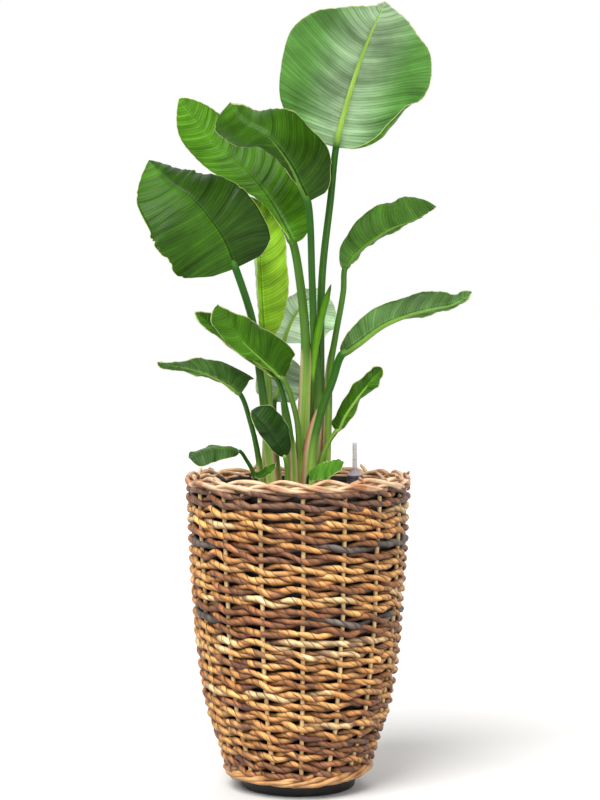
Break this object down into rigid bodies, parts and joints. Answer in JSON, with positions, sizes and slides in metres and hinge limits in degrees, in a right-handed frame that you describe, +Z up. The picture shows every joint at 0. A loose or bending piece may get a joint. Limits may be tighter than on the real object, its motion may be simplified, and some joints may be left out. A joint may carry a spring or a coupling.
{
  "type": "potted bird of paradise plant",
  "caption": "Tall bird of paradise plant with broad leaves on long stalks, rooted in mineral granules in a liner pot inside a woven basket, with a water-level gauge beside the stalks.",
  "frame": {"origin": "centre of the liner pot's flat foot, on the surface that it stands on", "axes": "+Z up the pot's axis, front of the plant towards -Y, +X to the right seen from the front"},
  "size_m": [0.6099, 0.432, 1.456],
  "materials": {
    "leaf": "satin",
    "young_leaf": "satin",
    "stalk": "satin",
    "crown": "matte",
    "weave": "matte",
    "rod": "satin",
    "black_plastic": "satin",
    "granules": "matte",
    "grey_plastic": "satin",
    "clear_plastic": "gloss",
    "foam": "matte",
    "red_plastic": "gloss"
  },
  "bodies": {
    "planter": {"basket_wall": "weave", "basket_rim": "rod", "basket_base_border": "rod", "liner_pot": "black_plastic", "substrate": "granules", "root_crown": "crown", "gauge_tube": "black_plastic", "gauge_stopper": "black_plastic", "gauge_head": "grey_plastic", "gauge_sight_tube": "clear_plastic", "leaf_01_blade": "leaf", "leaf_01_stalk": "stalk", "leaf_02_blade": "leaf", "leaf_02_stalk": "stalk", "leaf_03_blade": "leaf", "leaf_03_stalk": "stalk", "leaf_04_blade": "leaf", "leaf_04_stalk": "stalk", "leaf_05_blade": "young_leaf", "leaf_05_stalk": "stalk", "leaf_06_blade": "leaf", "leaf_06_stalk": "stalk", "leaf_07_blade": "leaf", "leaf_07_stalk": "stalk", "leaf_08_blade": "leaf", "leaf_08_stalk": "stalk", "leaf_09_blade": "leaf", "leaf_09_stalk": "stalk", "leaf_10_blade": "leaf", "leaf_10_stalk": "stalk", "leaf_11_blade": "leaf", "leaf_11_stalk": "stalk", "leaf_12_blade": "leaf", "leaf_12_stalk": "stalk", "leaf_13_blade": "leaf", "leaf_13_stalk": "stalk", "leaf_14_blade": "leaf", "leaf_14_stalk": "stalk", "leaf_15_blade": "leaf", "leaf_15_stalk": "stalk", "leaf_16_blade": "leaf", "leaf_16_stalk": "stalk", "leaf_17_blade": "leaf", "leaf_17_stalk": "stalk", "spear": "young_leaf"},
    "gauge_float": {"gauge_float": "foam", "gauge_pointer": "red_plastic"}
  },
  "joints": [
    {"name": "gauge_float_slide", "type": "slide", "parent": "planter", "child": "gauge_float", "axis": [0, 0, 1], "range_m": [0, 0.037]}
  ]
}
